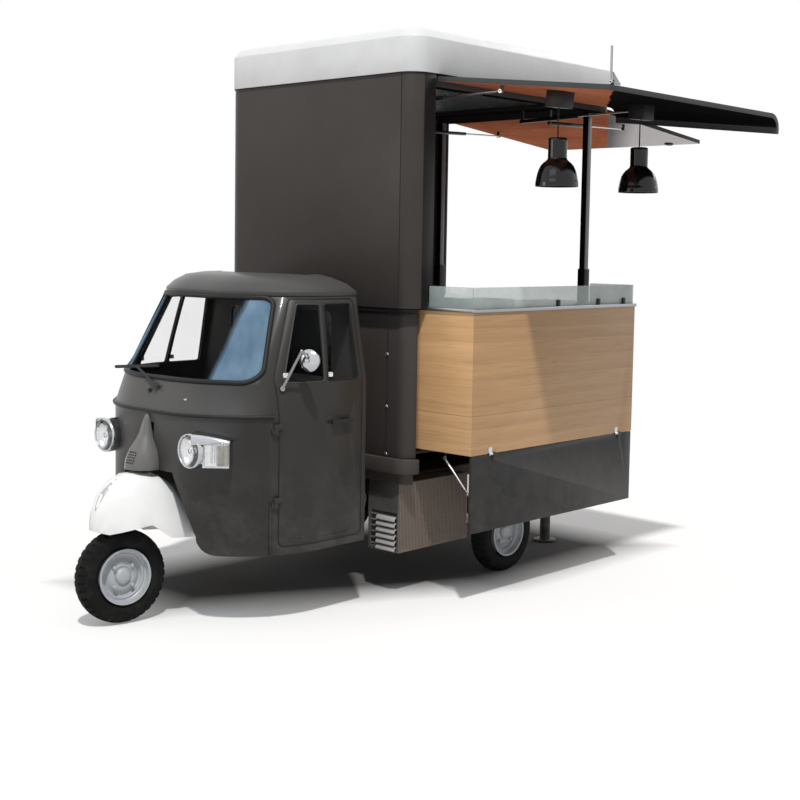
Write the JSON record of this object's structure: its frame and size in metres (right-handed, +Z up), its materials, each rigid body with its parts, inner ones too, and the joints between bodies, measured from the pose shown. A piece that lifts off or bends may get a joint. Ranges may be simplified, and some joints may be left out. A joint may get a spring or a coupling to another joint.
{
  "type": "three-wheeled food van",
  "caption": "Three-wheeled motor van with a cab and a raised stall body, a slide-out wooden counter, a serving flap with pendant lamps and a rear flap.",
  "frame": {"origin": "on the ground under the middle of the whole outline with both flaps open", "axes": "+Z up, -Y forward, +X towards the serving side, which is the left of the van"},
  "size_m": [2.5326, 4.461, 2.96],
  "materials": {
    "body_paint": "semi-gloss",
    "shell_paint": "semi-gloss",
    "white_gloss": "gloss",
    "mudguard_white": "gloss",
    "flap_black": "gloss",
    "rear_flap_grey": "gloss",
    "skirt_grey": "gloss",
    "chassis_black": "satin",
    "mesh_steel": "satin",
    "rim_silver": "satin",
    "tyre_black": "matt",
    "bright_chrome": "polished",
    "mirror_face": "polished",
    "lens_clear": "clear",
    "window_glass": "clear",
    "guard_glass": "clear",
    "tail_red": "gloss",
    "horn_grey": "satin",
    "oak": "oiled",
    "steel_top": "brushed",
    "worktop_steel": "brushed",
    "post_black": "satin",
    "seat_vinyl": "satin",
    "dash_plastic": "matt",
    "engine_alloy": "cast",
    "tank_paint": "satin",
    "lamp_black": "gloss",
    "lamp_box_black": "satin",
    "cord_rubber": "matt",
    "strut_black": "satin",
    "strut_rod": "polished"
  },
  "bodies": {
    "chassis": {"chassis_frame": "chassis_black", "cab_body": "body_paint", "cab_roof": "body_paint", "cab_glass": "window_glass", "cab_floor": "chassis_black", "seat_cushions": "seat_vinyl", "dashboard": "dash_plastic", "horn_cover": "horn_grey", "headlight_housings": "bright_chrome", "headlight_lenses": "lens_clear", "engine_unit": "engine_alloy", "rear_arms": "chassis_black", "fuel_tank": "tank_paint", "lower_body": "shell_paint", "base_moulding": "shell_paint", "upper_shell": "shell_paint", "roof_cap": "white_gloss", "corner_posts": "post_black", "underfloor_box": "chassis_black", "mesh_panel": "mesh_steel", "counter_runners": "steel_top", "tail_lamps": "tail_red"},
    "steering": {"front_fork": "chassis_black", "handlebar": "dash_plastic", "front_mudguard": "mudguard_white"},
    "front_wheel": {"front_tyre": "tyre_black", "front_rim": "rim_silver"},
    "rear_left_wheel": {"rear_left_tyre": "tyre_black", "rear_left_rim": "rim_silver"},
    "rear_right_wheel": {"rear_right_tyre": "tyre_black", "rear_right_rim": "rim_silver"},
    "left_door": {"left_door": "body_paint", "left_door_glass": "window_glass", "mirror_arm": "bright_chrome"},
    "right_door": {"right_door": "body_paint", "right_door_glass": "window_glass"},
    "left_handle": {"left_handle": "bright_chrome"},
    "right_handle": {"right_handle": "bright_chrome"},
    "mirror": {"mirror_head": "mirror_face"},
    "wiper": {"wiper": "dash_plastic"},
    "left_flap": {"left_flap": "flap_black", "lamp_boxes": "lamp_box_black"},
    "lamps": {"pendant_lamps": "lamp_black", "lamp_cords": "cord_rubber"},
    "left_strut_tube": {"left_strut_tubes": "strut_black"},
    "left_strut_rod": {"left_strut_rods": "strut_rod"},
    "rear_flap": {"rear_flap": "rear_flap_grey"},
    "rear_strut_tube": {"rear_strut_tubes": "strut_black"},
    "rear_strut_rod": {"rear_strut_rods": "strut_rod"},
    "latch": {"flap_latch": "bright_chrome"},
    "counter": {"counter_box": "oak", "counter_worktop": "worktop_steel", "counter_glass": "guard_glass", "food_well": "steel_top", "skirt_hinges": "bright_chrome"},
    "skirt": {"skirt_panel": "skirt_grey"},
    "skirt_strut_tube": {"skirt_strut_tubes": "strut_black"},
    "skirt_strut_rod": {"skirt_strut_rods": "strut_rod"},
    "left_leg_body": {"left_leg": "chassis_black"},
    "right_leg_body": {"right_leg": "chassis_black"}
  },
  "joints": [
    {"name": "steering_turn", "type": "hinge", "parent": "chassis", "child": "steering", "pos_m": [-0.52628, -1.86813, 0.72], "axis": [0, 0.309, 0.9511], "range_deg": [-16, 34]},
    {"name": "front_wheel_spin", "type": "hinge", "parent": "steering", "child": "front_wheel", "pos_m": [-0.52258, -2.00341, 0.22809], "axis": [0.9877, -0.1488, 0.0483], "continuous": true},
    {"name": "rear_left_wheel_spin", "type": "hinge", "parent": "chassis", "child": "rear_left_wheel", "pos_m": [0.10872, 0.15187, 0.228], "axis": [1, 0, 0], "continuous": true},
    {"name": "rear_right_wheel_spin", "type": "hinge", "parent": "chassis", "child": "rear_right_wheel", "pos_m": [-1.16128, 0.15187, 0.228], "axis": [1, 0, 0], "continuous": true},
    {"name": "left_door_swing", "type": "hinge", "parent": "chassis", "child": "left_door", "pos_m": [0.07439, -1.53213, 0.606], "axis": [0, 0, -1], "range_deg": [0, 65]},
    {"name": "right_door_swing", "type": "hinge", "parent": "chassis", "child": "right_door", "pos_m": [-1.12694, -1.53213, 0.606], "axis": [0, 0, 1], "range_deg": [0, 65]},
    {"name": "left_handle_lift", "type": "hinge", "parent": "left_door", "child": "left_handle", "pos_m": [0.11872, -1.10313, 0.975], "axis": [-1, 0, 0], "range_deg": [0, 40]},
    {"name": "right_handle_lift", "type": "hinge", "parent": "right_door", "child": "right_handle", "pos_m": [-1.17128, -1.10313, 0.975], "axis": [-1, 0, 0], "range_deg": [0, 40]},
    {"name": "mirror_swivel", "type": "hinge", "parent": "left_door", "child": "mirror", "pos_m": [0.19572, -1.45513, 1.298], "axis": [0, 0, 1], "range_deg": [-25, 15]},
    {"name": "wiper_sweep", "type": "hinge", "parent": "chassis", "child": "wiper", "pos_m": [-0.49628, -1.79213, 1.128], "axis": [0, -0.866, 0.5], "range_deg": [-95, 0]},
    {"name": "left_flap_close", "type": "hinge", "parent": "chassis", "child": "left_flap", "pos_m": [0.20572, 0.24687, 2.71], "axis": [0, 1, 0], "range_deg": [0, 83.7]},
    {"name": "lamps_hang", "type": "hinge", "parent": "left_flap", "child": "lamps", "pos_m": [0.77115, 0.24687, 2.52785], "axis": [0, 1, 0], "range_deg": [-77.84, 0]},
    {"name": "left_strut_tube_turn", "type": "hinge", "parent": "chassis", "child": "left_strut_tube", "pos_m": [-0.1768, 0.24687, 2.59305], "axis": [0, 1, 0], "range_deg": [0, 41.85]},
    {"name": "left_strut_rod_turn", "type": "hinge", "parent": "left_flap", "child": "left_strut_rod", "pos_m": [0.59349, 0.24687, 2.61185], "axis": [0, 1, 0], "range_deg": [-41.85, 0]},
    {"name": "rear_flap_close", "type": "hinge", "parent": "chassis", "child": "rear_flap", "pos_m": [-0.52628, 1.07687, 2.7], "axis": [-1, 0, 0], "range_deg": [0, 84.3]},
    {"name": "rear_strut_tube_turn", "type": "hinge", "parent": "chassis", "child": "rear_strut_tube", "pos_m": [-0.52628, 0.69435, 2.58305], "axis": [-1, 0, 0], "range_deg": [0, 42.15]},
    {"name": "rear_strut_rod_turn", "type": "hinge", "parent": "rear_flap", "child": "rear_strut_rod", "pos_m": [-0.52628, 1.46565, 2.60592], "axis": [-1, 0, 0], "range_deg": [-42.15, 0]},
    {"name": "latch_fold", "type": "hinge", "parent": "left_flap", "child": "latch", "pos_m": [1.238, -0.53313, 2.61012], "axis": [0, -1, 0], "range_deg": [0, 85]},
    {"name": "counter_slide", "type": "slide", "parent": "chassis", "child": "counter", "axis": [-1, 0, 0], "range_m": [0, 0.3]},
    {"name": "skirt_lift", "type": "hinge", "parent": "counter", "child": "skirt", "pos_m": [0.51922, 0.11087, 0.7845], "axis": [0, -1, 0], "range_deg": [0, 85]},
    {"name": "skirt_strut_tube_turn", "type": "hinge", "parent": "counter", "child": "skirt_strut_tube", "pos_m": [0.31422, 0.11087, 0.7525], "axis": [0, -1, 0], "range_deg": [0, 42.5]},
    {"name": "skirt_strut_rod_turn", "type": "hinge", "parent": "skirt", "child": "skirt_strut_rod", "pos_m": [0.48722, 0.11087, 0.5795], "axis": [0, -1, 0], "range_deg": [-42.5, 0]},
    {"name": "left_leg_lift", "type": "slide", "parent": "chassis", "child": "left_leg_body", "axis": [0, 0, 1], "range_m": [0, 0.12]},
    {"name": "right_leg_lift", "type": "slide", "parent": "chassis", "child": "right_leg_body", "axis": [0, 0, 1], "range_m": [0, 0.12]}
  ],
  "couplings": [
    {"joint": "lamps_hang", "follows": "left_flap_close", "ratio": -0.93},
    {"joint": "left_strut_tube_turn", "follows": "left_flap_close", "ratio": 0.5},
    {"joint": "left_strut_rod_turn", "follows": "left_flap_close", "ratio": -0.5},
    {"joint": "rear_strut_tube_turn", "follows": "rear_flap_close", "ratio": 0.5},
    {"joint": "rear_strut_rod_turn", "follows": "rear_flap_close", "ratio": -0.5},
    {"joint": "skirt_strut_tube_turn", "follows": "skirt_lift", "ratio": 0.5},
    {"joint": "skirt_strut_rod_turn", "follows": "skirt_lift", "ratio": -0.5}
  ]
}
